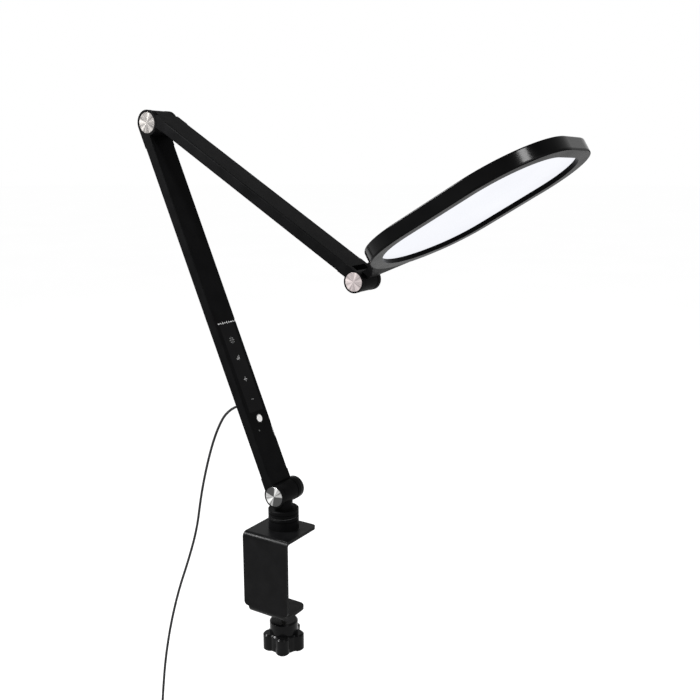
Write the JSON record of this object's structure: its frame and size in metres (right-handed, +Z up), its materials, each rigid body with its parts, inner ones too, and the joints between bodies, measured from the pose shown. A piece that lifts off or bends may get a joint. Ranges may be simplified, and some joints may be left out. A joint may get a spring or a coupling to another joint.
{
  "type": "clamp-on two-arm task lamp",
  "caption": "Table clamp, swivel base, folding flat arms and a wide flat lit head with a rounded outline, with touch controls on the lower arm and a power lead.",
  "frame": {"origin": "on the underside of the upper jaw's pad, where it rests on the table top, on the swivel's axis", "axes": "+Z up along the swivel's axis; the arms fold in the XZ plane and the head points to +X; +Y along the hinge axes, out of the clamp's mouth"},
  "size_m": [0.4994, 0.251, 0.7256],
  "materials": {
    "clamp_paint": "satin black powder coat",
    "rubber": "matte black pad",
    "hinge_black": "satin black die cast metal",
    "nylon": "black nylon",
    "steel": "bright zinc plated steel",
    "knob_plastic": "gloss black moulding",
    "arm_black": "satin black coated extrusion",
    "cap_metal": "lathe turned silver",
    "touch_glass": "black panel with pale plain symbols",
    "button_metal": "silver",
    "circuit_board": "green board",
    "cord_black": "soft black jacket",
    "tie_black": "black strap",
    "adapter_plastic": "fine textured black",
    "head_gloss": "gloss black shell",
    "bezel_black": "semi gloss black",
    "diffuser_white": "milky white, lit evenly",
    "light_guide": "clear acrylic sheet",
    "reflector_white": "white film",
    "plate_metal": "plain sheet"
  },
  "bodies": {
    "clamp": {"clamp_bracket": "clamp_paint", "jaw_pad": "rubber", "collar": "hinge_black", "collar_bushing": "nylon", "collar_screws": "steel", "clamp_nut": "steel"},
    "jaw": {"pressure_plate": "clamp_paint", "pressure_pad": "rubber"},
    "screw": {"clamp_screw": "steel", "screw_clip": "steel", "clamp_knob": "knob_plastic"},
    "swivel": {"swivel_yoke": "hinge_black", "swivel_pin": "steel", "swivel_washer": "nylon", "swivel_ring": "steel", "cord_fall": "cord_black", "cord_coil": "cord_black", "coil_tie": "tie_black", "cord_tail": "cord_black", "adapter": "adapter_plastic", "adapter_relief": "cord_black", "adapter_pins": "steel"},
    "lower_arm": {"lower_tube": "arm_black", "lower_base_fork": "hinge_black", "lower_elbow_fork": "hinge_black", "lower_screws": "steel", "base_bolt": "steel", "base_cap": "cap_metal", "base_washers": "nylon", "elbow_bolt": "steel", "elbow_caps": "cap_metal", "elbow_washers": "nylon", "touch_panel": "touch_glass", "button_ring": "knob_plastic", "control_board": "circuit_board", "usb_socket": "steel", "cord_gland": "cord_black", "cord_arm": "cord_black"},
    "button": {"power_button": "button_metal"},
    "tension_knob": {"tension_knob": "knob_plastic"},
    "upper_arm": {"upper_tube": "arm_black", "upper_elbow_knuckle": "hinge_black", "upper_head_fork": "hinge_black", "upper_screws": "steel", "head_bolt": "steel", "head_caps": "cap_metal", "head_washers": "nylon"},
    "head": {"head_bracket": "hinge_black", "back_cover": "head_gloss", "bezel": "bezel_black", "diffuser": "diffuser_white", "light_guide": "light_guide", "reflector": "reflector_white", "backing_plate": "plate_metal", "led_strips": "circuit_board", "head_screws": "steel"}
  },
  "joints": [
    {"name": "swivel", "type": "hinge", "parent": "clamp", "child": "swivel", "pos_m": [0, 0, 0.0236], "axis": [0, 0, 1], "range_deg": [-170, 170]},
    {"name": "base_hinge", "type": "hinge", "parent": "swivel", "child": "lower_arm", "pos_m": [0, 0, 0.0458], "axis": [0, 1, 0], "range_deg": [-60, 75]},
    {"name": "elbow_hinge", "type": "hinge", "parent": "lower_arm", "child": "upper_arm", "pos_m": [-0.16756, 0, 0.45138], "axis": [0, -1, 0], "range_deg": [-32, 144]},
    {"name": "head_tilt", "type": "hinge", "parent": "upper_arm", "child": "head", "pos_m": [0.10356, 0, 0.29174], "axis": [0, 1, 0], "range_deg": [-55, 95]},
    {"name": "knob_turn", "type": "hinge", "parent": "jaw", "child": "screw", "pos_m": [0, -0.003, -0.1], "axis": [0, 0, 1], "range_deg": [-25201, 721]},
    {"name": "jaw_travel", "type": "slide", "parent": "clamp", "child": "jaw", "axis": [0, 0, 1], "range_m": [-0.07, 0.002]},
    {"name": "tension_knob_turn", "type": "hinge", "parent": "lower_arm", "child": "tension_knob", "pos_m": [0, 0.0216, 0.0458], "axis": [0, 1, 0], "range_deg": [-180, 180]},
    {"name": "power_button_press", "type": "slide", "parent": "lower_arm", "child": "button", "axis": [-0.9198, 0, -0.3923], "range_m": [0, 0.0006], "stiffness_N_per_m": 1000, "springref_m": -0.0005}
  ],
  "couplings": [
    {"joint": "knob_turn", "follows": "jaw_travel", "rad_per_m": 6283.2}
  ]
}
